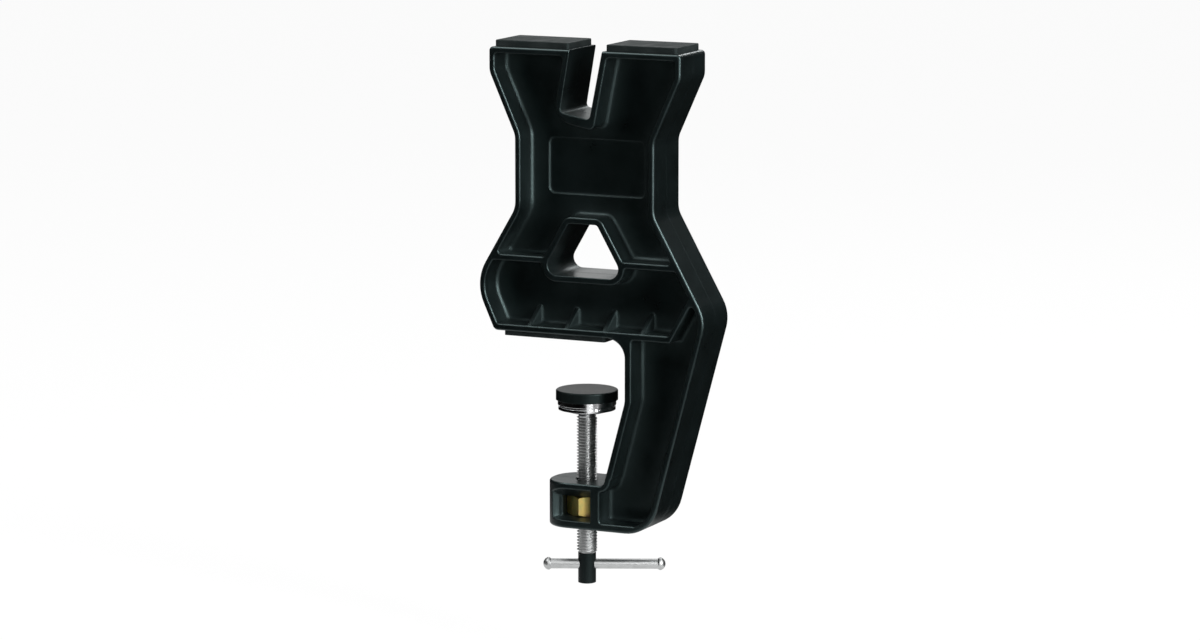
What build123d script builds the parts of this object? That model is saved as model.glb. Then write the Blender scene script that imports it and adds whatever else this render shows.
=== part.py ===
from build123d import *
from math import cos, radians, sin, tan
import os

# Ski tuning vise: a moulded C-frame that clamps to the edge of a bench and carries a ski,
# base up on its two rubber rests or on edge in the leaning slot between them.
# Origin: where the screw's axis meets the jaw's contact face. The throat opens towards -X,
# the ski lies along Y, and +Z is up.

# Moulded frame: walls
frame_depth = 30.0
web_thickness = 4.0
rim_thickness = 3.0
rim_rounding = 1.1
inner_chamfer = 0.45
pocket_rounding = 1.5
root_chamfer = 1.0

# Moulded frame: head and waist, both centred on the same upright line
top_height = 141.0
waist_centre = 5.3
head_half_width = 50.7
waist_half_width = 37.0
head_bend_height = 129.0
waist_top_height = 98.5
waist_foot_height = 63.0

# Moulded frame: jaw, arm and throat
jaw_pad_thickness = 2.3
jaw_flange_thickness = 3.3
jaw_tip = -43.2
jaw_bulge = (-53.8, 25.8)
arm_bulge = (69.7, 14.2)
arm_lean = 15.1
throat_wall = 26.8
throat_bend_height = -28.4
throat_root_radius = 9.5
throat_flange_thickness = 3.6
throat_flange_foot = -66.7
shelf_top = 40.0
brace_foot = (50.0, 3.3)
brace_angle = 60.7
brace_length = 40.0
brace_thickness = 2.4

# Moulded frame: boss of the clamp nut
boss_top = -70.5
boss_bottom = -93.0
boss_nose = -18.1
nose_radius = 13.5
boss_right_wall = 13.4
boss_wall_top = -74.4
bottom_flange_thickness = 3.8

# Slot that holds a ski on its edge, leaning towards the arm
slot_floor = (0.5, 109.2)
slot_lean = 10.5
slot_floor_width = 16.0
slot_mouth_width = 17.2
slot_side_length = 40.0
slot_floor_radius = 2.0
slot_wall = 3.0
slot_floor_thickness = 4.5
slot_outer_left_radius = 10.0
slot_outer_right_radius = 3.0

# Window in the web, a triangle with its top cut off
window_centre = 4.7
window_top = 57.2
window_bottom = 31.3
window_foot_half_width = 22.6
window_side_angle = 30.0
window_top_radius = 2.0
window_foot_radius = 5.0
window_wall = 3.0

# Fins on the jaw flange
gusset_count = 4
gusset_pitch = 20.1
first_gusset = -24.4
gusset_thickness = 2.2
gusset_height = 8.7
gusset_setback = 0.6

# Shallow name panel, left bare
panel_centre = (6.3, 83.4)
panel_size = (51.0, 27.4)
panel_radius = 3.0
panel_depth = 0.9

# Rubber faces
rest_thickness = 4.0
rest_sunk = 0.8
rest_end_inset = 2.6
rest_side_inset = 1.5
rest_slot_gap = 1.4
rest_corner = 1.5
rest_edge = 0.5
jaw_pad_span = (-38.4, 15.9)

# Clamp screw, an M10 with a 1.5 mm pitch
screw_diameter = 10.0
running_clearance = 0.05
thread_end = -107.6
thread_chamfer = 1.0
shank_diameter = 7.6
shank_end = -122.6
shank_chamfer = 0.5
neck_diameter = 7.1
sleeve_diameter = 8.8
sleeve_clearance = 0.02
sleeve_end = -122.2

# Nut of the clamp screw and its pocket in the boss
nut_width = 17.0
nut_height = 10.0
nut_bevel = 1.6
nut_bevel_angle = 30.0
bore_diameter = 10.6
nut_pocket_floor = -88.1
nut_pocket_height = 10.4
nut_pocket_width = 17.6
nut_window_depth = 5.4
nut_window_bevel = 5.4
nut_window_left = -10.5
nut_window_top = -73.2
nut_window_bottom = -89.3

# Swivelling foot, drawn against the underside of a 26 mm bench top
bench_thickness = 26.0
cap_diameter = 30.4
cap_height = 5.0
cap_skin = 2.8
cap_edge = 0.8
dish_spigot_radius = 13.0
dish_flange_radius = 14.3
dish_flange_height = 2.4
dish_groove_radius = 13.4
dish_groove_height = 1.0
dish_ring_radius = 14.0
dish_ring_foot = 4.8
dish_mouth_radius = 6.4
dish_height = 7.6
dish_floor = 2.0
dish_hollow_radius = 10.6
swivel_play = 0.1
washer_diameter = 16.0
washer_thickness = 1.2
rivet_radius = 4.8
rivet_height = 2.0

# Handle: a bar that slides through the end of the screw
bar_height = -113.1
bar_diameter = 5.0
bar_length = 60.0
bar_head_radius = 3.1
bar_head_length = 3.8
bar_head_cone = 0.8
bar_head_dome = 2.2
bar_angle = 24.0
bar_offset = 8.5

# Worked out from the dimensions above
half_depth = frame_depth / 2
half_web = web_thickness / 2
rubber_depth = frame_depth - 2 * rest_side_inset
beyond = 2 * frame_depth + top_height
head_left = waist_centre - head_half_width
head_right = waist_centre + head_half_width
waist_left = waist_centre - waist_half_width
waist_right = waist_centre + waist_half_width
jaw_flange_top = jaw_pad_thickness + jaw_flange_thickness
arm_foot = arm_bulge[0] - (arm_bulge[1] - boss_bottom) * tan(radians(arm_lean))
throat_foot = throat_wall - (throat_bend_height - boss_top) * tan(radians(arm_lean))
flange_drop = throat_bend_height - throat_flange_foot
flange_foot = throat_wall + throat_flange_thickness - flange_drop * tan(radians(arm_lean))
nut_window_right = nut_pocket_width / 2
cap_foot = -bench_thickness - cap_height
spigot_top = cap_foot + cap_height - cap_skin
dish_foot = cap_foot - dish_height
shoulder = dish_foot - swivel_play
washer_foot = dish_foot + dish_floor + swivel_play
rivet_foot = washer_foot + washer_thickness
neck_bore_radius = neck_diameter / 2 + running_clearance

# The frame's outline, corner by corner from the top left: x, z and the corner's radius
outline = [
    (head_left, top_height, 2.0),
    (head_right, top_height, 2.0),
    (head_right, head_bend_height, 8.0),
    (waist_right, waist_top_height, 10.0),
    (waist_right, waist_foot_height, 12.0),
    (*arm_bulge, 18.0),
    (arm_foot, boss_bottom, 18.0),
    (boss_nose, boss_bottom, 0.0),
    (boss_nose, boss_top, 0.0),
    (throat_foot, boss_top, 2.5),
    (throat_wall, throat_bend_height, 12.0),
    (throat_wall, jaw_pad_thickness, throat_root_radius),
    (jaw_tip, jaw_pad_thickness, 3.0),
    (*jaw_bulge, 22.0),
    (waist_left, waist_foot_height, 12.0),
    (waist_left, waist_top_height, 10.0),
    (head_left, head_bend_height, 8.0),
]
outline_points = [(x, z) for x, z, radius in outline]
outline_radii = [radius for x, z, radius in outline]


def slot_point(across, up):
    """A point of the leaning slot: across its width, and up its sides from the floor."""
    lean = radians(slot_lean)
    x = slot_floor[0] + across * cos(lean) + up * sin(lean)
    z = slot_floor[1] - across * sin(lean) + up * cos(lean)
    return (x, z)


def slot_corners(wall, floor):
    """The slot's four corners from its lower left, moved out by its walls and floor."""
    floor_half = slot_floor_width / 2 + wall
    mouth_half = slot_mouth_width / 2 + wall
    return [
        slot_point(-floor_half, -floor),
        slot_point(-mouth_half, slot_side_length),
        slot_point(mouth_half, slot_side_length),
        slot_point(floor_half, -floor),
    ]


def window_corners(wall):
    """The window's four corners from its top left, moved out by its wall."""
    slope = tan(radians(window_side_angle))
    side = wall / cos(radians(window_side_angle))
    top = window_top + wall
    bottom = window_bottom - wall
    top_half = window_foot_half_width - (top - window_bottom) * slope + side
    bottom_half = window_foot_half_width - (bottom - window_bottom) * slope + side
    return [
        (window_centre - top_half, top),
        (window_centre + top_half, top),
        (window_centre + bottom_half, bottom),
        (window_centre - bottom_half, bottom),
    ]


def window_radii(wall):
    """The radii of the window's four corners, moved out by its wall."""
    return [window_top_radius + wall] * 2 + [window_foot_radius + wall] * 2


def dome_radius(base_radius, height):
    """The radius of the sphere whose cap has this base and height."""
    return (base_radius**2 + height**2) / (2 * height)


slot_rise = (top_height - slot_floor[1]) / cos(radians(slot_lean))
mouth_left = slot_point(-slot_mouth_width / 2, slot_rise)[0]
mouth_right = slot_point(slot_mouth_width / 2, slot_rise)[0]
rest_spans = {
    "left": (head_left + rest_end_inset, mouth_left - rest_slot_gap),
    "right": (mouth_right + rest_slot_gap, head_right - rest_end_inset),
}
os.makedirs("parts", exist_ok=True)

# Pockets beside the web: the outline inside its rim, less the walls that stand on the web
with BuildPart() as pockets:
    with BuildSketch(Plane.XZ.offset(half_web)):
        with BuildLine():
            FilletPolyline(*outline_points, radius=outline_radii, close=True)
        make_face()
        offset(amount=-rim_thickness, mode=Mode.REPLACE)
        # Boss, throat flange and the open throat to the left of them
        with BuildLine():
            Polyline(
                (-beyond, boss_bottom),
                (boss_right_wall, boss_bottom),
                (boss_right_wall, boss_wall_top),
                (flange_foot, throat_flange_foot),
                (throat_wall + throat_flange_thickness, throat_bend_height),
                (throat_wall + throat_flange_thickness, jaw_flange_top),
                (-beyond, jaw_flange_top),
                close=True,
            )
        make_face(mode=Mode.SUBTRACT)
        # Bottom flange
        with Locations((0, boss_bottom)):
            Rectangle(beyond, 2 * bottom_flange_thickness, mode=Mode.SUBTRACT)
        # Jaw flange, and the brace that runs up from its right end
        with Locations((brace_foot[0], jaw_flange_top)):
            Rectangle(
                beyond,
                jaw_flange_thickness,
                align=(Align.MAX, Align.MAX),
                mode=Mode.SUBTRACT,
            )
        with Locations(Location(brace_foot, brace_angle)):
            Rectangle(
                brace_length,
                brace_thickness,
                align=(Align.MIN, Align.CENTER),
                mode=Mode.SUBTRACT,
            )
        # Shelf across the whole width
        with Locations((0, shelf_top)):
            Rectangle(
                beyond, rim_thickness, align=(Align.CENTER, Align.MAX), mode=Mode.SUBTRACT
            )
        # Walls round the window and the slot
        with BuildLine():
            FilletPolyline(
                *window_corners(window_wall), radius=window_radii(window_wall), close=True
            )
        make_face(mode=Mode.SUBTRACT)
        with BuildLine():
            FilletPolyline(
                *slot_corners(slot_wall, slot_floor_thickness),
                radius=[slot_outer_left_radius, 0.0, 0.0, slot_outer_right_radius],
                close=True,
            )
        make_face(mode=Mode.SUBTRACT)
        # Round the pockets' corners
        offset(amount=-pocket_rounding, kind=Kind.INTERSECTION, mode=Mode.REPLACE)
        offset(amount=pocket_rounding, mode=Mode.REPLACE)
    extrude(amount=half_depth)
    # Thicken the walls where they stand on the web
    root_edges = pockets.faces().filter_by(Axis.Y).group_by(Axis.Y)[-1].edges()
    chamfer(root_edges, root_chamfer)
    mirror(about=Plane.XZ)

# Fins that stiffen the jaw flange against the web
with BuildPart() as gussets:
    for index in range(gusset_count):
        with BuildSketch(Plane.YZ.offset(first_gusset + index * gusset_pitch)):
            with BuildLine():
                Polyline(
                    (0, jaw_pad_thickness),
                    (gusset_setback - half_depth, jaw_pad_thickness),
                    (gusset_setback - half_depth, jaw_flange_top),
                    (-half_web, jaw_flange_top + gusset_height),
                    (0, jaw_flange_top + gusset_height),
                    close=True,
                )
            make_face()
        extrude(amount=gusset_thickness / 2, both=True)
    mirror(about=Plane.XZ)

# The frame: one moulding, with its jaw above the bench edge and the nut's boss below
with BuildPart() as frame:
    with BuildSketch(Plane.XZ):
        with BuildLine():
            FilletPolyline(*outline_points, radius=outline_radii, close=True)
        make_face()
    extrude(amount=half_depth, both=True)

    # Round the boss's nose, then the rims all the way round both faces
    boss_edges = frame.edges().filter_by_position(Axis.Z, boss_bottom - 1, boss_top + 1)
    fillet(boss_edges.filter_by(Axis.Z).group_by(Axis.X)[0], radius=nose_radius)
    boss_edges = frame.edges().filter_by_position(Axis.Z, boss_bottom - 1, boss_top + 1)
    nose_edges = boss_edges.filter_by_position(
        Axis.X, boss_nose - 1, boss_nose + nose_radius + 1
    )
    side_edges = frame.edges().filter_by(lambda edge: abs(edge.center().Y) > half_depth - 0.1)
    fillet(side_edges - nose_edges + nose_edges.filter_by(Plane.XY), radius=rim_rounding)

    # Hollow both sides and break the edges of the pockets
    add(pockets.part, mode=Mode.SUBTRACT)
    outer_faces = frame.faces().filter_by(Axis.Y).group_by(Axis.Y)
    pocket_edges = ShapeList()
    for face in outer_faces[0] + outer_faces[-1]:
        for wire in face.inner_wires():
            pocket_edges += wire.edges()
    chamfer(pocket_edges, inner_chamfer)
    add(gussets.part)

    # The slot, a little wider at its mouth, and the window
    with BuildSketch(Plane.XZ):
        with BuildLine():
            FilletPolyline(
                *slot_corners(0, 0),
                radius=[slot_floor_radius, 0.0, 0.0, slot_floor_radius],
                close=True,
            )
        make_face()
        with BuildLine():
            FilletPolyline(*window_corners(0), radius=window_radii(0), close=True)
        make_face()
    extrude(amount=half_depth, both=True, mode=Mode.SUBTRACT)

    # Shallow panel in the web's front face
    with BuildSketch(Plane.XZ.offset(half_web)):
        with Locations(panel_centre):
            RectangleRounded(*panel_size, radius=panel_radius)
    extrude(amount=-panel_depth, mode=Mode.SUBTRACT)

    # Bore for the screw, and the nut's pocket behind a window bevelled on three sides
    with BuildSketch(Plane.XY.offset(boss_bottom)):
        Circle(bore_diameter / 2)
    extrude(amount=boss_top - boss_bottom, mode=Mode.SUBTRACT)
    with BuildSketch(Plane.XY.offset(nut_pocket_floor)):
        RegularPolygon(nut_pocket_width / 2, 6, major_radius=False, rotation=30)
        Rectangle(nut_pocket_width, half_depth, align=(Align.CENTER, Align.MAX))
    extrude(amount=nut_pocket_height, mode=Mode.SUBTRACT)
    with BuildSketch(Plane.XZ.offset(half_depth)):
        with Locations((nut_window_right, nut_window_bottom)):
            Rectangle(
                nut_window_right - nut_window_left + nut_window_bevel,
                nut_window_top - nut_window_bottom,
                align=(Align.MAX, Align.MIN),
            )
    with BuildSketch(Plane.XZ.offset(half_depth - nut_window_depth)):
        with Locations((nut_window_right, nut_pocket_floor)):
            Rectangle(
                nut_window_right - nut_window_left,
                nut_pocket_height,
                align=(Align.MAX, Align.MIN),
            )
    loft(mode=Mode.SUBTRACT)

    # Seats for the rubber rests
    with BuildSketch(Plane.XY.offset(top_height)):
        for left, right in rest_spans.values():
            with Locations(((left + right) / 2, 0)):
                Rectangle(right - left, rubber_depth)
    extrude(amount=-rest_sunk, mode=Mode.SUBTRACT)
frame.part.label = "frame"
export_step(frame.part, "parts/frame.step")

# Rubber rests bonded in their seats, one on each side of the slot
for side, (left, right) in rest_spans.items():
    with BuildPart() as top_rest:
        with BuildSketch(Plane.XY.offset(top_height - rest_sunk)):
            with Locations(((left + right) / 2, 0)):
                RectangleRounded(right - left, rubber_depth, rest_corner)
        extrude(amount=rest_thickness)
        fillet(top_rest.faces().sort_by(Axis.Z)[-1].edges(), radius=rest_edge)
    top_rest.part.label = f"top_rest_{side}"
    export_step(top_rest.part, f"parts/top_rest_{side}.step")

# Rubber strip bonded under the jaw, its lower face on the bench top
with BuildPart() as jaw_pad:
    with BuildSketch():
        with Locations((sum(jaw_pad_span) / 2, 0)):
            RectangleRounded(jaw_pad_span[1] - jaw_pad_span[0], rubber_depth, rest_corner)
    extrude(amount=jaw_pad_thickness)
jaw_pad.part.label = "jaw_pad"
export_step(jaw_pad.part, "parts/jaw_pad.step")

# Steel hexagon nut on the pocket's floor, its corners turned off at both ends
with BuildPart() as clamp_nut:
    with BuildSketch(Plane.XY.offset(nut_pocket_floor)):
        Circle(nut_width / 2 / cos(radians(30)))
    extrude(amount=nut_height)
    for end in (0, -1):
        end_face = clamp_nut.faces().sort_by(Axis.Z)[end]
        chamfer(end_face.edges(), nut_bevel, angle=nut_bevel_angle, reference=end_face)
    with BuildSketch(Plane.XY.offset(nut_pocket_floor)):
        RegularPolygon(nut_width / 2, 6, major_radius=False, rotation=30)
        Circle(screw_diameter / 2 + running_clearance, mode=Mode.SUBTRACT)
    extrude(amount=nut_height, mode=Mode.INTERSECT)
clamp_nut.part.label = "clamp_nut"
export_step(clamp_nut.part, "parts/clamp_nut.step")

# Cap of the swivelling foot, which presses on the bench from below
with BuildPart() as pad_cap:
    with BuildSketch(Plane.XY.offset(cap_foot)):
        Circle(cap_diameter / 2)
    extrude(amount=cap_height)
    with BuildSketch(Plane.XY.offset(cap_foot)):
        Circle(dish_spigot_radius + running_clearance)
    extrude(amount=cap_height - cap_skin, mode=Mode.SUBTRACT)
    fillet(pad_cap.faces().sort_by(Axis.Z)[-1].edges(), radius=cap_edge)
pad_cap.part.label = "pad_cap"
export_step(pad_cap.part, "parts/pad_cap.step")

# Steel dish of the foot: a spigot in the cap, two turned rings and a bowl round the screw
with BuildPart() as swivel_dish:
    with BuildSketch(Plane.XZ):
        with BuildLine():
            rings = Polyline(
                (dish_spigot_radius, spigot_top),
                (dish_spigot_radius, cap_foot),
                (dish_flange_radius, cap_foot),
                (dish_flange_radius, cap_foot - dish_flange_height),
                (dish_groove_radius, cap_foot - dish_flange_height),
                (dish_groove_radius, cap_foot - dish_flange_height - dish_groove_height),
                (dish_ring_radius, cap_foot - dish_flange_height - dish_groove_height),
                (dish_ring_radius, cap_foot - dish_ring_foot),
            )
            bowl = TangentArc(
                rings @ 1,
                (dish_mouth_radius, dish_foot),
                tangent=(-1, 0),
                tangent_from_first=False,
            )
            Polyline(
                bowl @ 1,
                (neck_bore_radius, dish_foot),
                (neck_bore_radius, dish_foot + dish_floor),
                (dish_hollow_radius, dish_foot + dish_floor),
                (dish_hollow_radius, spigot_top),
                rings @ 0,
            )
        make_face()
    revolve(axis=Axis.Z)
swivel_dish.part.label = "swivel_dish"
export_step(swivel_dish.part, "parts/swivel_dish.step")

# Washer that holds the dish on the screw, inside the foot
with BuildPart() as retaining_washer:
    with BuildSketch(Plane.XY.offset(washer_foot)):
        Circle(washer_diameter / 2)
        Circle(neck_bore_radius, mode=Mode.SUBTRACT)
    extrude(amount=washer_thickness)
retaining_washer.part.label = "retaining_washer"
export_step(retaining_washer.part, "parts/retaining_washer.step")

# Hole for the bar, square to the screw, drilled through the shank and its sleeve alike
bar_direction = Vector(1, 0, 0).rotate(Axis.Z, bar_angle)
bar_hole_plane = Plane((0, 0, bar_height), z_dir=bar_direction)

# Clamp screw: riveted neck, threaded length at its outside diameter, and turned-down shank
with BuildPart() as clamp_screw:
    with BuildSketch(Plane.XZ):
        with BuildLine():
            shaft = Polyline(
                (0, shank_end),
                (shank_diameter / 2 - shank_chamfer, shank_end),
                (shank_diameter / 2, shank_end + shank_chamfer),
                (shank_diameter / 2, thread_end),
                (screw_diameter / 2 - thread_chamfer, thread_end),
                (screw_diameter / 2, thread_end + thread_chamfer),
                (screw_diameter / 2, shoulder - shank_chamfer),
                (screw_diameter / 2 - shank_chamfer, shoulder),
                (neck_diameter / 2, shoulder),
                (neck_diameter / 2, rivet_foot),
                (rivet_radius, rivet_foot),
            )
            rivet = RadiusArc(
                shaft @ 1, (0, rivet_foot + rivet_height), -dome_radius(rivet_radius, rivet_height)
            )
            Line(rivet @ 1, shaft @ 0)
        make_face()
    revolve(axis=Axis.Z)
    with BuildSketch(bar_hole_plane):
        Circle(bar_diameter / 2 + running_clearance)
    extrude(amount=screw_diameter, both=True, mode=Mode.SUBTRACT)
clamp_screw.part.label = "clamp_screw"
export_step(clamp_screw.part, "parts/clamp_screw.step")

# Sleeve over the shank, bored across for the bar
with BuildPart() as screw_sleeve:
    with BuildSketch(Plane.XY.offset(sleeve_end)):
        Circle(sleeve_diameter / 2)
        Circle(shank_diameter / 2 + sleeve_clearance, mode=Mode.SUBTRACT)
    extrude(amount=thread_end - sleeve_end)
    with BuildSketch(bar_hole_plane):
        Circle(bar_diameter / 2 + running_clearance)
    extrude(amount=screw_diameter, both=True, mode=Mode.SUBTRACT)
screw_sleeve.part.label = "screw_sleeve"
export_step(screw_sleeve.part, "parts/screw_sleeve.step")

# Sliding bar, its ends upset into round heads so that it can't fall out
bar_centre = Vector(0, 0, bar_height) + bar_direction * bar_offset
with BuildPart() as tommy_bar:
    with BuildSketch(Plane(bar_centre, x_dir=bar_direction, z_dir=(0, 0, 1))):
        with BuildLine():
            stem = Polyline(
                (0, 0),
                (0, bar_diameter / 2),
                (bar_length / 2 - bar_head_length, bar_diameter / 2),
                (bar_length / 2 - bar_head_length + bar_head_cone, bar_head_radius),
                (bar_length / 2 - bar_head_dome, bar_head_radius),
            )
            dome = RadiusArc(
                stem @ 1, (bar_length / 2, 0), dome_radius(bar_head_radius, bar_head_dome)
            )
            Line(dome @ 1, stem @ 0)
        make_face()
    revolve(axis=Axis(bar_centre, bar_direction))
    mirror(about=Plane(bar_centre, z_dir=bar_direction))
tommy_bar.part.label = "tommy_bar"
export_step(tommy_bar.part, "parts/tommy_bar.step")
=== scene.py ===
from math import atan2, cos, pi, radians, sin, sqrt

import bmesh
import bpy
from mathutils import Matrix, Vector


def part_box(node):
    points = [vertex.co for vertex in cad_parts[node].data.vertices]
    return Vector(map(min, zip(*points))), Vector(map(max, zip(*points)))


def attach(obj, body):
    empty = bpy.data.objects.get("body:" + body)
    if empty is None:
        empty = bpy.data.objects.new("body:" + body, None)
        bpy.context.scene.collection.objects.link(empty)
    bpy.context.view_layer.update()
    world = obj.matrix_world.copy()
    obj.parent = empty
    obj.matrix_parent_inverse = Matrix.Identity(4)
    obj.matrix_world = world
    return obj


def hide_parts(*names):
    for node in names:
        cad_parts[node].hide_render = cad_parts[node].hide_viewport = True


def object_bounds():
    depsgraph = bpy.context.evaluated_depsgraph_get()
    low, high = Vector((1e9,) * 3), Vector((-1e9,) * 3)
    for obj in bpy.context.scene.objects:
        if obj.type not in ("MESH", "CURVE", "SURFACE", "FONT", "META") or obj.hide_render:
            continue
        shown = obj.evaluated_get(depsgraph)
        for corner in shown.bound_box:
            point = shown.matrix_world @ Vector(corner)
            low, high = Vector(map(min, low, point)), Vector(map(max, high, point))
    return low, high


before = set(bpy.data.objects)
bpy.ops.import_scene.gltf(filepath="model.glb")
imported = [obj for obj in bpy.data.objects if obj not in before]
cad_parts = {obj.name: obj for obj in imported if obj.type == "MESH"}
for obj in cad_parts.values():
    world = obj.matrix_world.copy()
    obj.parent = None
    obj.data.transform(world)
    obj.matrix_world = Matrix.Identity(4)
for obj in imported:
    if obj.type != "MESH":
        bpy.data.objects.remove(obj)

scene = bpy.context.scene
cad_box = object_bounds()


# Camera. It stands to the right of the vise and somewhat above its jaw, and a long lens
# fills the picture with the one tool.
camera_place = Vector((0.8978, -1.8946, 0.3504))
camera_target = Vector((0.007, 0.0, 0.0085))
lens_length = 0.131
sensor_width = 0.036
millimetres = 1000
camera_data = bpy.data.cameras.new("camera")
camera_data.sensor_width = sensor_width * millimetres
camera_data.lens = lens_length * millimetres
camera = bpy.data.objects.new("camera", camera_data)
camera.location = camera_place
camera.rotation_mode = "QUATERNION"
camera.rotation_quaternion = (camera_target - camera_place).to_track_quat("-Z", "Y")
scene.collection.objects.link(camera)
scene.camera = camera
scene.view_settings.view_transform = "Standard"


# Studio. A pale floor, low enough to clear the screw when it is let down. Soft lamps light
# the vise, and dark cards, which only its glossy surfaces see, keep the black plastic black
# and draw the dark sides of the bright steel.
floor_height = -0.162
floor_reach = 9.0
floor_colour = (0.82, 0.82, 0.82, 1.0)
floor_roughness = 0.9
floor_glow = 0.94
white = (1.0, 1.0, 1.0, 1.0)
ambient_strength = 0.32
card_lift = 0.002
low_card_rise = 0.01


class Signal:
    """An output socket of a shader node. Python's operators on it add Math nodes."""

    def __init__(self, socket):
        self.socket = socket

    def math(self, operation, *values):
        tree = self.socket.id_data
        node = tree.nodes.new("ShaderNodeMath")
        node.operation = operation
        for port, value in zip(node.inputs, values):
            if isinstance(value, Signal):
                tree.links.new(value.socket, port)
            else:
                port.default_value = value
        return Signal(node.outputs[0])

    def __add__(self, other):
        return self.math("ADD", self, other)

    def __radd__(self, other):
        return self.math("ADD", other, self)

    def __sub__(self, other):
        return self.math("SUBTRACT", self, other)

    def __rsub__(self, other):
        return self.math("SUBTRACT", other, self)

    def __mul__(self, other):
        return self.math("MULTIPLY", self, other)

    def __rmul__(self, other):
        return self.math("MULTIPLY", other, self)


class NodeTree:
    """The nodes of a material or of the world."""

    def __init__(self, owner):
        owner.use_nodes = True
        self.tree = owner.node_tree

    def node(self, kind, settings=None, sockets=None, output=0):
        """Adds a node: its settings first, then the values or links of its sockets. Sockets
        go by name, or by number where a node has several of one name."""
        made = self.tree.nodes.new("ShaderNode" + kind)
        for name, value in (settings or {}).items():
            setattr(made, name, value)
        self.feed(made, sockets or {})
        return Signal(made.outputs[output])

    def feed(self, node, sockets):
        """Sets or links the given sockets of a node."""
        for name, value in sockets.items():
            if isinstance(value, Signal):
                self.tree.links.new(value.socket, node.inputs[name])
            else:
                node.inputs[name].default_value = value


def seen_rays(nodes):
    """1 for the rays by which the camera, a mirror or a glass looks at a surface, else 0."""
    seen = nodes.node("LightPath", output="Is Camera Ray")
    for ray in ("Is Glossy Ray", "Is Transmission Ray"):
        seen = seen + nodes.node("LightPath", output=ray)
    return seen


def plate(name, corners):
    """A flat four-cornered piece of the studio."""
    mesh = bpy.data.meshes.new(name)
    mesh.from_pydata(corners, [], [(0, 1, 2, 3)])
    card = bpy.data.objects.new(name, mesh)
    scene.collection.objects.link(card)
    return card


def dark_card(name, turn, near, far, top, half_width, reflected_glow=0.0):
    """A card that slopes up from the floor, away from the vise, and darkens only what
    glossy surfaces see; given a reflected glow, it shines faintly in them, a painted reflection.
    Turn is its bearing, from the front towards the right."""
    away = Vector((sin(turn), -cos(turn), 0.0))
    across = Vector((cos(turn), sin(turn), 0.0)) * half_width
    low = away * near + Vector((0.0, 0.0, floor_height + card_lift))
    high = away * far + Vector((0.0, 0.0, top))
    card = plate(name, [low - across, low + across, high + across, high - across])
    card.visible_camera = False
    card.visible_diffuse = False
    card.visible_transmission = False
    card.visible_shadow = False
    finish = bpy.data.materials.new(name)
    nodes = NodeTree(finish)
    # The card's glow is a painted reflection; at 0 the card is black.
    shade = nodes.node("Emission", None, {"Color": white, "Strength": reflected_glow})
    nodes.feed(nodes.tree.nodes["Material Output"], {"Surface": shade})
    card.data.materials.append(finish)


def lamp(name, place, size, power):
    """A rectangular soft box that faces the vise."""
    light = bpy.data.lights.new(name, "AREA")
    light.shape = "RECTANGLE"
    light.size, light.size_y = size
    light.energy = power
    box = bpy.data.objects.new(name, light)
    box.location = place
    box.rotation_mode = "QUATERNION"
    box.rotation_quaternion = (-Vector(place)).to_track_quat("-Z", "Y")
    scene.collection.objects.link(box)


floor = plate(
    "floor",
    [
        (-floor_reach, -floor_reach, floor_height),
        (floor_reach, -floor_reach, floor_height),
        (floor_reach, floor_reach, floor_height),
        (-floor_reach, floor_reach, floor_height),
    ],
)
floor_material = bpy.data.materials.new("pale_floor")
floor_nodes = NodeTree(floor_material)
floor_shader = floor_nodes.tree.nodes["Principled BSDF"]
floor_nodes.feed(floor_shader, {"Base Color": floor_colour, "Roughness": floor_roughness})
floor_white = floor_nodes.node("Emission", None, {"Color": white, "Strength": 1.0})
floor_share = seen_rays(floor_nodes) * floor_glow
floor_lit = Signal(floor_shader.outputs[0])
floor_mix = floor_nodes.node("MixShader", None, {0: floor_share, 1: floor_lit, 2: floor_white})
floor_nodes.feed(floor_nodes.tree.nodes["Material Output"], {"Surface": floor_mix})
floor.data.materials.append(floor_material)

world = bpy.data.worlds.new("studio")
scene.world = world
sky = NodeTree(world)
sky_white = sky.node("Background", None, {"Color": white, "Strength": 1.0})
sky_ambient = sky.node("Background", None, {"Color": white, "Strength": ambient_strength})
sky_mix = sky.node("MixShader", None, {0: seen_rays(sky), 1: sky_ambient, 2: sky_white})
sky.feed(sky.tree.nodes["World Output"], {"Surface": sky_mix})

dark_card("card_front", radians(-28.0), near=0.2, far=0.9, top=0.75, half_width=0.32)
# The back card glows faintly: a painted reflection, seen only in glossy surfaces.
dark_card("card_back", radians(155.0), near=0.12, far=0.9, top=0.75, half_width=0.3, reflected_glow=0.01)
dark_card("card_left", radians(-95.0), near=0.3, far=0.9, top=1.2, half_width=0.4)
dark_card("card_low", radians(-154.0), near=0.3, far=0.36, top=0.0, half_width=0.25)
low_card_top = floor_height + low_card_rise
dark_card("card_foot", radians(66.0), near=0.28, far=0.75, top=low_card_top, half_width=0.2)
lamp("key", place=(1.18, -0.45, 0.54), size=(0.3, 1.1), power=38.0)
lamp("strip", place=(0.66, -0.72, 0.12), size=(0.12, 0.5), power=2.2)
lamp("overhead", place=(-0.7, -0.25, 1.35), size=(0.9, 0.9), power=13.0)
lamp("fill", place=(-1.3, -0.8, 0.5), size=(0.8, 0.8), power=4.0)
lamp("rear", place=(0.1, 1.3, 0.9), size=(0.6, 0.6), power=8.0)


# Moulded frame. It is one piece of black glass-filled nylon, a little uneven in gloss where
# the glass fibre comes to the skin, with edges that the mould leaves slightly round.
plastic_ior = 1.5
cool_sheen = (0.72, 1.0, 1.0, 1.0)
nylon_colours = ((0.0004, 0.0007, 0.0007, 1.0), (0.0021, 0.0036, 0.0038, 1.0))
nylon_gloss = (0.20, 0.42)
nylon_sheen = 0.5
cloud_scale = 70.0
cloud_share = 0.6
fibre_scale = 900.0
grain_scale = 3800.0
grain_depth = 0.000004
edge_round = 0.0009
root_round = 0.0028
rounding_samples = 6
pocket_samples = 4
pocket_reach = 0.012
pocket_limits = (0.45, 0.95)
pocket_dulling = 0.27


def between(factor, low, high):
    """Runs a number from low to high."""
    return low + factor * (high - low)


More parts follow.
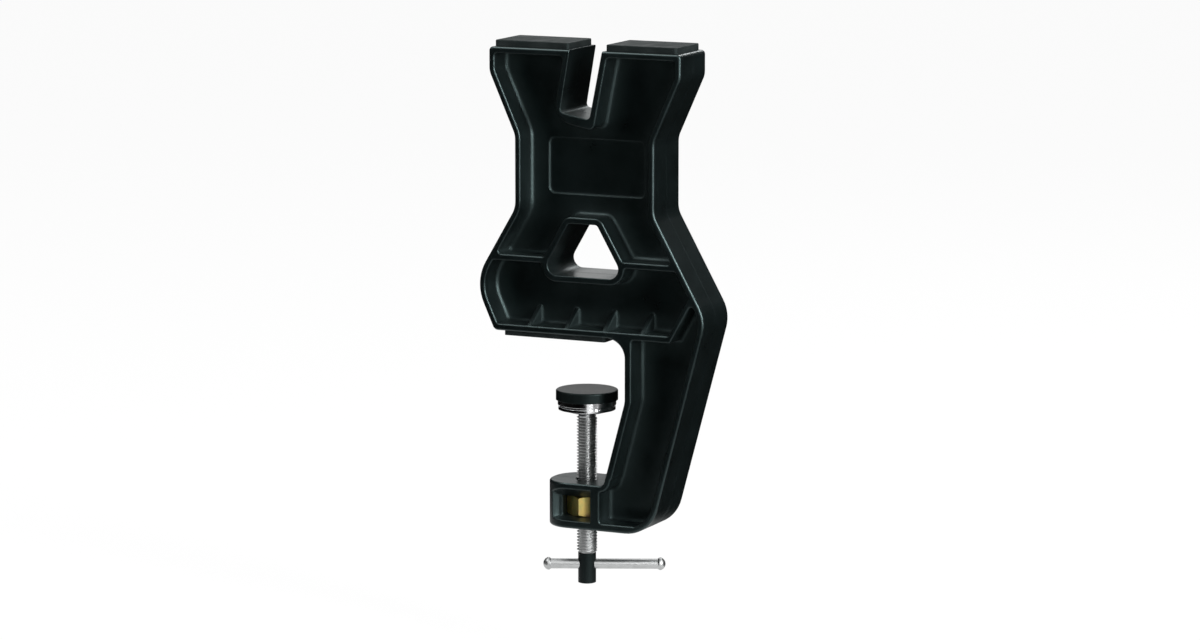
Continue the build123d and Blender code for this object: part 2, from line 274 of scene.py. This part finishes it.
class Finish(NodeTree):
    """A material for pieces of the vise, with a few steps that most finishes share."""

    def __init__(self, name, constants):
        self.material = bpy.data.materials.new(name)
        super().__init__(self.material)
        self.shader = self.tree.nodes["Principled BSDF"]
        self.feed(self.shader, constants)
        self.place = self.node("TexCoord", output="Object")

    def noise(self, scale, detail=2.0, place=None):
        """Cloudy noise between 0 and 1; scale is in clouds to the metre."""
        sockets = {"Vector": place or self.place, "Scale": scale, "Detail": detail}
        return self.node("TexNoise", None, sockets)

    def spread(self, value, low, high):
        """Stretches a value so that low becomes 0 and high becomes 1, with soft ends."""
        settings = {"interpolation_type": "SMOOTHSTEP"}
        return self.node("MapRange", settings, {"Value": value, "From Min": low, "From Max": high})

    def blend(self, factor, first, second):
        """Mixes two colours."""
        settings = {"data_type": "RGBA"}
        return self.node("Mix", settings, {0: factor, 6: first, 7: second}, output=2)

    def bump(self, height, depth, normal=None):
        """Raises the surface by height times depth, which is in metres."""
        sockets = {"Height": height, "Distance": depth, "Strength": 1.0}
        if normal is not None:
            sockets["Normal"] = normal
        return self.node("Bump", None, sockets)

    def rounded(self, radius):
        """The surface's normal, with its edges rounded off."""
        return self.node("Bevel", {"samples": rounding_samples}, {"Radius": radius})

    def done(self, sockets, *pieces):
        """Feeds the surface and puts the material on the pieces."""
        self.feed(self.shader, sockets)
        for piece in pieces:
            piece.data.materials.clear()
            piece.data.materials.append(self.material)


def nylon(name, colours, gloss, rounding, sheen, root_rounding=None):
    """Black moulded nylon: fine grain, faint clouds in its colour and its gloss. In pockets,
    where given a root rounding, it is duller and its walls run into the web more softly."""
    constants = {"IOR": plastic_ior, "Specular IOR Level": sheen, "Specular Tint": cool_sheen}
    finish = Finish(name, constants)
    clouds = finish.noise(cloud_scale, 3.0)
    fibres = finish.noise(fibre_scale)
    grain = finish.noise(grain_scale)
    roughness = between(clouds * cloud_share + fibres * (1 - cloud_share), *gloss)
    surface = finish.rounded(rounding)
    if root_rounding:
        settings = {"samples": pocket_samples, "only_local": True}
        outlook = finish.node("AmbientOcclusion", settings, {"Distance": pocket_reach}, "AO")
        pocket = 1 - finish.spread(outlook, *pocket_limits)
        roughness = roughness + pocket * pocket_dulling
        vectors = {0: pocket, 4: surface, 5: finish.rounded(root_rounding)}
        surface = finish.node("Mix", {"data_type": "VECTOR"}, vectors, output=1)
    sockets = {
        "Base Color": finish.blend(clouds, *colours),
        "Roughness": roughness,
        "Normal": finish.bump(grain, grain_depth, surface),
    }
    return finish, sockets


finish, sockets = nylon(
    "moulded_nylon", nylon_colours, nylon_gloss, edge_round, nylon_sheen, root_round
)
finish.done(sockets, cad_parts["frame"])


# Parting line. The mould's two halves meet half-way across the moulding and leave a fine
# raised line there, all round its outline and through its window.
seam_height = 0.00005
seam_half_width = 0.0003
seam_root = 0.00005
seam_round = 0.00003
shortest_seam = 0.06
same_point = 1e-6


def cut_loops(node):
    """The closed loops where a CAD node crosses the plane of the mould, as lists of points."""
    cut = bmesh.new()
    cut.from_mesh(node.data)
    bmesh.ops.remove_doubles(cut, verts=cut.verts[:], dist=same_point)
    made = bmesh.ops.bisect_plane(
        cut,
        geom=cut.verts[:] + cut.edges[:] + cut.faces[:],
        plane_co=(0.0, 0.0, 0.0),
        plane_no=(0.0, 1.0, 0.0),
        clear_inner=True,
        clear_outer=True,
        dist=same_point,
    )
    edges = {part for part in made["geom_cut"] if isinstance(part, bmesh.types.BMEdge)}
    loops = []
    while edges:
        start = min(edges, key=lambda edge: tuple(edge.verts[0].co))
        first, last = start.verts
        edges.remove(start)
        loop = [first, last]
        while last is not first:
            onward = [edge for edge in last.link_edges if edge in edges]
            if not onward:
                break
            edges.remove(onward[0])
            last = onward[0].other_vert(last)
            loop.append(last)
        loops.append([vert.co.copy() for vert in loop[:-1]])
    cut.free()
    return loops


def loop_length(loop):
    return sum((point - loop[index - 1]).length for index, point in enumerate(loop))


def loop_area(loop):
    """Twice the area that a loop in the XZ plane encloses, positive if it runs from +X to +Z."""
    return sum(loop[index - 1].x * p.z - p.x * loop[index - 1].z for index, p in enumerate(loop))


def new_object(name, shape):
    """Turns a bmesh into an object of the scene."""
    mesh = bpy.data.meshes.new(name)
    shape.to_mesh(mesh)
    shape.free()
    made = bpy.data.objects.new(name, mesh)
    scene.collection.objects.link(made)
    return made


seams = bmesh.new()
side_step = Vector((0.0, seam_half_width, 0.0))
outlines = [loop for loop in cut_loops(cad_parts["frame"]) if loop_length(loop) > shortest_seam]
outlines.sort(key=lambda loop: -abs(loop_area(loop)))
for order, loop in enumerate(outlines):
    if (loop_area(loop) > 0) != (order == 0):
        loop.reverse()
    rails = []
    for index, point in enumerate(loop):
        along = (loop[(index + 1) % len(loop)] - loop[index - 1]).normalized()
        outward = Vector((along.z, 0.0, -along.x))
        base = point - outward * seam_root
        ridge = point + outward * seam_height
        ridge.x = min(max(ridge.x, cad_box[0].x), cad_box[1].x)
        corners = (base - side_step, ridge, base + side_step)
        rails.append([seams.verts.new(corner) for corner in corners])
    for index, rail in enumerate(rails):
        before = rails[index - 1]
        for corner in range(len(rail)):
            after = (corner + 1) % len(rail)
            seams.faces.new((before[corner], before[after], rail[after], rail[corner]))
bmesh.ops.recalc_face_normals(seams, faces=seams.faces[:])
parting_line = new_object("parting_line", seams)
finish, sockets = nylon("parting_line_nylon", nylon_colours, nylon_gloss, seam_round, nylon_sheen)
finish.done(sockets, parting_line)
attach(parting_line, "vise_frame")


# Rubber rests and jaw strip. Moulded black rubber, bonded in its seats: dead matt, and
# greyer in streaks on the faces that look up.
rubber_colours = ((0.0045, 0.0055, 0.0055, 1.0), (0.0085, 0.0100, 0.0100, 1.0))
rubber_roughness = (0.62, 0.8)
rubber_sheen = 0.14
rubber_cloud_scale = 120.0
rubber_cloud_limits = (0.35, 0.7)
rubber_grain_scale = 2600.0
rubber_grain_depth = 0.00003
greying_colour = (0.034, 0.038, 0.038, 1.0)
greying_share = 0.7
greying_slopes = (0.5, 1.0)
streak_scale = (900.0, 60.0, 1.0)
streak_limits = (0.45, 0.75)

for name in ("top_rest_left", "top_rest_right", "jaw_pad"):
    constants = {"IOR": plastic_ior, "Specular IOR Level": rubber_sheen, "Specular Tint": cool_sheen}
    finish = Finish(name, constants)
    clouds = finish.spread(finish.noise(rubber_cloud_scale, 4.0), *rubber_cloud_limits)
    grain = finish.noise(rubber_grain_scale, 3.0)
    facing = finish.node("NewGeometry", output="Normal")
    upward = finish.node("SeparateXYZ", None, {"Vector": facing}, output="Z")
    streak_place = finish.node("Mapping", None, {"Vector": finish.place, "Scale": streak_scale})
    streaks = finish.spread(finish.noise(1.0, 3.0, streak_place), *streak_limits)
    # The faces that look up turn greyer, in streaks.
    greying = finish.spread(upward, *greying_slopes) * streaks * greying_share
    colour = finish.blend(clouds, *rubber_colours)
    sockets = {
        "Base Color": finish.blend(greying, colour, greying_colour),
        "Roughness": between(clouds, *rubber_roughness),
        "Normal": finish.bump(grain, rubber_grain_depth),
    }
    finish.done(sockets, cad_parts[name])


# Clamp nut. A pressed M10 nut, zinc plated and passivated yellow, which leaves a thin
# iridescent film: brassy, with greener and pinker clouds.
gold = (0.58, 0.43, 0.14, 1.0)
olive = (0.45, 0.39, 0.13, 1.0)
rose = (0.53, 0.33, 0.18, 1.0)
olive_scale = 300.0
olive_limits = (0.35, 0.65)
rose_scale = 180.0
rose_limits = (0.55, 0.8)
nut_grain_scale = 1500.0
nut_grain_depth = 0.000004
nut_roughness = (0.28, 0.46)
pressed_round = 0.0003

finish = Finish("yellow_zinc", {"Metallic": 1.0})
olive_clouds = finish.spread(finish.noise(olive_scale, 3.0), *olive_limits)
rose_clouds = finish.spread(finish.noise(rose_scale), *rose_limits)
film = finish.blend(rose_clouds, finish.blend(olive_clouds, gold, olive), rose)
grain = finish.noise(nut_grain_scale, 3.0)
sockets = {
    "Base Color": film,
    "Roughness": between(grain, *nut_roughness),
    "Normal": finish.bump(grain, nut_grain_depth, finish.rounded(pressed_round)),
}
finish.done(sockets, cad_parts["clamp_nut"])


# Clamp screw. A rolled M10 thread with a 1.5 mm pitch on zinc-plated steel, its neck
# riveted over inside the foot and its turned-down end drilled across for the bar.
pitch = 0.0015
crest_radius = 0.005
root_radius = 0.00408
crest_width = pitch / 8
root_width = pitch / 4
flank_width = (pitch - crest_width - root_width) / 2
end_chamfer = 0.001
end_radius = crest_radius - end_chamfer
spare_coils = 3
steps = 48
ring_angles = [2 * pi * index / steps for index in range(steps)]
weld = 1e-7
sharp_angle = radians(35.0)
shank_radius = 0.0038
shank_chamfer = 0.0005
neck_radius = 0.00355
rivet_radius = 0.0048
rivet_rings = 5
bar_angle = radians(24.0)
bar_hole_radius = 0.00255
drill_reach = 2 * shank_radius
swivel_play = 0.0001

screw_low, screw_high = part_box("clamp_screw")
thread_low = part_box("screw_sleeve")[1].z
thread_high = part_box("swivel_dish")[0].z - swivel_play
rivet_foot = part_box("retaining_washer")[1].z
bar_height = sum(corner.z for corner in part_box("tommy_bar")) / 2
bar_direction = Vector((cos(bar_angle), sin(bar_angle), 0.0))
bar_side = Vector((-sin(bar_angle), cos(bar_angle), 0.0))
screw_axis = Vector((0.0, 0.0, 1.0))

thread = bmesh.new()


def ring(radius, height):
    """A ring of points round the screw's axis."""
    return [thread.verts.new((radius * cos(a), radius * sin(a), height)) for a in ring_angles]


def bridge(shape, lower, upper):
    """Joins two rings of a shape with faces that look outwards."""
    for index in range(steps):
        shape.faces.new((lower[index - 1], lower[index], upper[index], upper[index - 1]))


def close(points, height, downward):
    """Closes a ring with a fan of faces to a point on the axis."""
    tip = thread.verts.new((0.0, 0.0, height))
    for index in range(steps):
        corners = (points[index], points[index - 1], tip)
        thread.faces.new(corners if downward else corners[::-1])


def end_ring(height):
    """The thread's last ring of points at a height, in order round the axis."""
    points = [v for v in thread.verts if abs(v.co.z - height) < weld and v.link_faces]
    return sorted(points, key=lambda v: (atan2(v.co.y, v.co.x) + pi / steps) % (2 * pi))


# The thread's profile is carried up a helix, a coil at a time, and held between its ends.
profile = [
    (root_radius, 0.0),
    (root_radius, root_width),
    (crest_radius, root_width + flank_width),
    (crest_radius, root_width + flank_width + crest_width),
]
coils = int((thread_high - thread_low) / pitch) + spare_coils
helix = []
for step in range(coils * steps + 1):
    angle = 2 * pi * step / steps
    rise = thread_low - pitch + pitch * step / steps
    row = []
    for radius, offset in profile:
        height = min(max(rise + offset, thread_low), thread_high)
        room = min(height - thread_low, thread_high - height)
        radius = min(radius, end_radius + room)
        row.append(thread.verts.new((radius * cos(angle), radius * sin(angle), height)))
    helix.append(row)
for step in range(coils * steps - steps):
    near, far = helix[step], helix[step + 1]
    above_near, above_far = helix[step + steps], helix[step + steps + 1]
    for index in range(len(profile) - 1):
        thread.faces.new((near[index], far[index], far[index + 1], near[index + 1]))
    thread.faces.new((near[-1], far[-1], above_far[0], above_near[0]))
bmesh.ops.remove_doubles(thread, verts=thread.verts[:], dist=weld)
bmesh.ops.dissolve_degenerate(thread, edges=thread.edges[:], dist=weld)

lower_end = end_ring(thread_low)
upper_end = end_ring(thread_high)
shank_rings = [
    ring(shank_radius - shank_chamfer, screw_low.z),
    ring(shank_radius, screw_low.z + shank_chamfer),
    ring(shank_radius, thread_low),
    lower_end,
]
neck_rings = [upper_end, ring(neck_radius, thread_high), ring(neck_radius, rivet_foot)]
dome_height = screw_high.z - rivet_foot
dome_radius = (rivet_radius**2 + dome_height**2) / (2 * dome_height)
for index in range(rivet_rings):
    radius = rivet_radius * (1 - index / rivet_rings)
    neck_rings.append(ring(radius, screw_high.z - dome_radius + sqrt(dome_radius**2 - radius**2)))
for rings in (shank_rings, neck_rings):
    for lower, upper in zip(rings, rings[1:]):
        bridge(thread, lower, upper)
close(shank_rings[0], screw_low.z, True)
close(neck_rings[-1], screw_high.z, False)

threaded_screw = new_object("clamp_screw_threaded", thread)
threaded_screw.data.shade_smooth()
threaded_screw.data.set_sharp_from_angle(angle=sharp_angle)
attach(threaded_screw, "screw")
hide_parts("clamp_screw")

drill = bmesh.new()
drill_ends = []
for side in (-1, 1):
    centre = screw_axis * bar_height + bar_direction * side * drill_reach
    spokes = [bar_side * cos(a) + screw_axis * sin(a) for a in ring_angles]
    drill_ends.append([drill.verts.new(centre + bar_hole_radius * spoke) for spoke in spokes])
near, far = drill_ends
bridge(drill, near, far)
drill.faces.new(near[::-1])
drill.faces.new(far)
bmesh.ops.recalc_face_normals(drill, faces=drill.faces[:])
drill_object = new_object("drill", drill)
hole = threaded_screw.modifiers.new("bar_hole", "BOOLEAN")
hole.operation = "DIFFERENCE"
hole.object = drill_object
bpy.context.view_layer.update()
depsgraph = bpy.context.evaluated_depsgraph_get()
drilled = bpy.data.meshes.new_from_object(threaded_screw.evaluated_get(depsgraph))
threaded_screw.modifiers.clear()
threaded_screw.data = drilled
bpy.data.objects.remove(drill_object)

steel_cloud_scale = 260.0
steel_cloud_limits = (0.35, 0.7)
steel_cloud_share = 0.6
dull_share = 0.88
screw_tint = (0.60, 0.61, 0.61, 1.0)
screw_roughness = (0.28, 0.38)
screw_marks = (0.002, 0.002, 0.0004)
screw_mark_depth = 0.0000004


def zinc_plated(name, tint, roughness, mark_size, depth, turn=0.0):
    """Bright zinc plating on steel: faint clouds of gloss, and the marks of drawing, rolling or
    blanking, whose size is given along X, Y and Z once they are turned about Z."""
    finish = Finish(name, {"Metallic": 1.0})
    mapping = {"Vector": finish.place, "Rotation": (0.0, 0.0, turn), "Scale": mark_size}
    marks = finish.noise(1.0, 3.0, finish.node("Mapping", {"vector_type": "TEXTURE"}, mapping))
    clouds = finish.spread(finish.noise(steel_cloud_scale, 3.0), *steel_cloud_limits)
    mottle = clouds * steel_cloud_share + marks * (1 - steel_cloud_share)
    dull = tuple(dull_share * part for part in tint[:3]) + (1.0,)
    sockets = {
        "Base Color": finish.blend(clouds, tint, dull),
        "Roughness": between(mottle, *roughness),
        "Normal": finish.bump(marks, depth),
    }
    return finish, sockets


finish, sockets = zinc_plated(
    "bright_zinc", screw_tint, screw_roughness, screw_marks, screw_mark_depth
)
finish.done(sockets, threaded_screw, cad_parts["clamp_screw"])


# Retaining washer. A plain blanked steel washer inside the foot, zinc plated, which the
# riveted neck keeps in place.
washer_tint = (0.42, 0.42, 0.43, 1.0)
washer_roughness = (0.3, 0.5)
washer_marks = (0.0004, 0.0004, 0.0004)
washer_mark_depth = 0.000002
finish, sockets = zinc_plated(
    "washer_steel", washer_tint, washer_roughness, washer_marks, washer_mark_depth
)
finish.done(sockets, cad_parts["retaining_washer"])


# Swivel dish. Turned from steel bar, with two rings round its rim, and chromed: it is bright,
# with faint lines round its axis from the turning tool.
bright_chrome = (0.80, 0.81, 0.82, 1.0)
dull_chrome = (0.62, 0.63, 0.64, 1.0)
chrome_roughness = (0.1, 0.26)
chrome_cloud_scale = 220.0
chrome_cloud_limits = (0.4, 0.75)
line_share = 0.5
line_scale = 2200.0
height_scale = 1500.0
line_depth = 0.000004
flat_only = (1.0, 1.0, 0.0)

finish = Finish("dish_chrome", {"Metallic": 1.0})
flat_place = finish.node("VectorMath", {"operation": "MULTIPLY"}, {0: finish.place, 1: flat_only})
off_axis = finish.node("VectorMath", {"operation": "LENGTH"}, {0: flat_place}, output="Value")
up_axis = finish.node("SeparateXYZ", None, {"Vector": finish.place}, output="Z")
line_sockets = {"X": off_axis * line_scale, "Z": up_axis * height_scale}
turned_lines = finish.noise(1.0, 3.0, finish.node("CombineXYZ", None, line_sockets))
clouds = finish.spread(finish.noise(chrome_cloud_scale, 3.0), *chrome_cloud_limits)
mottle = turned_lines * line_share + clouds * (1 - line_share)
sockets = {
    "Base Color": finish.blend(clouds, bright_chrome, dull_chrome),
    "Roughness": between(mottle, *chrome_roughness),
    "Normal": finish.bump(turned_lines, line_depth, finish.rounded(pressed_round)),
}
finish.done(sockets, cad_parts["swivel_dish"])


# Pad cap. A black plastic cap snapped over the dish, which bears on what the vise clamps. It
# is a little duller than the frame's nylon.
cap_colours = ((0.0010, 0.0018, 0.0018, 1.0), (0.0036, 0.0050, 0.0050, 1.0))
cap_gloss = (0.3, 0.48)
cap_round = 0.0006
soft_sheen = 0.12
finish, sockets = nylon("cap_plastic", cap_colours, cap_gloss, cap_round, soft_sheen)
finish.done(sockets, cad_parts["pad_cap"])


# Screw sleeve. A short black tube of soft plastic, pushed over the screw's turned-down end
# and drilled across with it for the bar.
sleeve_colours = ((0.0012, 0.0020, 0.0020, 1.0), (0.0044, 0.0056, 0.0056, 1.0))
sleeve_gloss = (0.3, 0.46)
sleeve_round = 0.0002
finish, sockets = nylon("sleeve_plastic", sleeve_colours, sleeve_gloss, sleeve_round, soft_sheen)
finish.done(sockets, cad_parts["screw_sleeve"])


# Tommy bar. Drawn steel bar with upset ends that keep it in the screw, zinc plated bright;
# the drawing lines run along it.
bar_tint = (0.50, 0.51, 0.51, 1.0)
bar_roughness = (0.3, 0.38)
bar_marks = (0.012, 0.0008, 0.0008)
bar_mark_depth = 0.0000003
finish, sockets = zinc_plated(
    "bar_steel", bar_tint, bar_roughness, bar_marks, bar_mark_depth, bar_angle
)
finish.done(sockets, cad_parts["tommy_bar"])
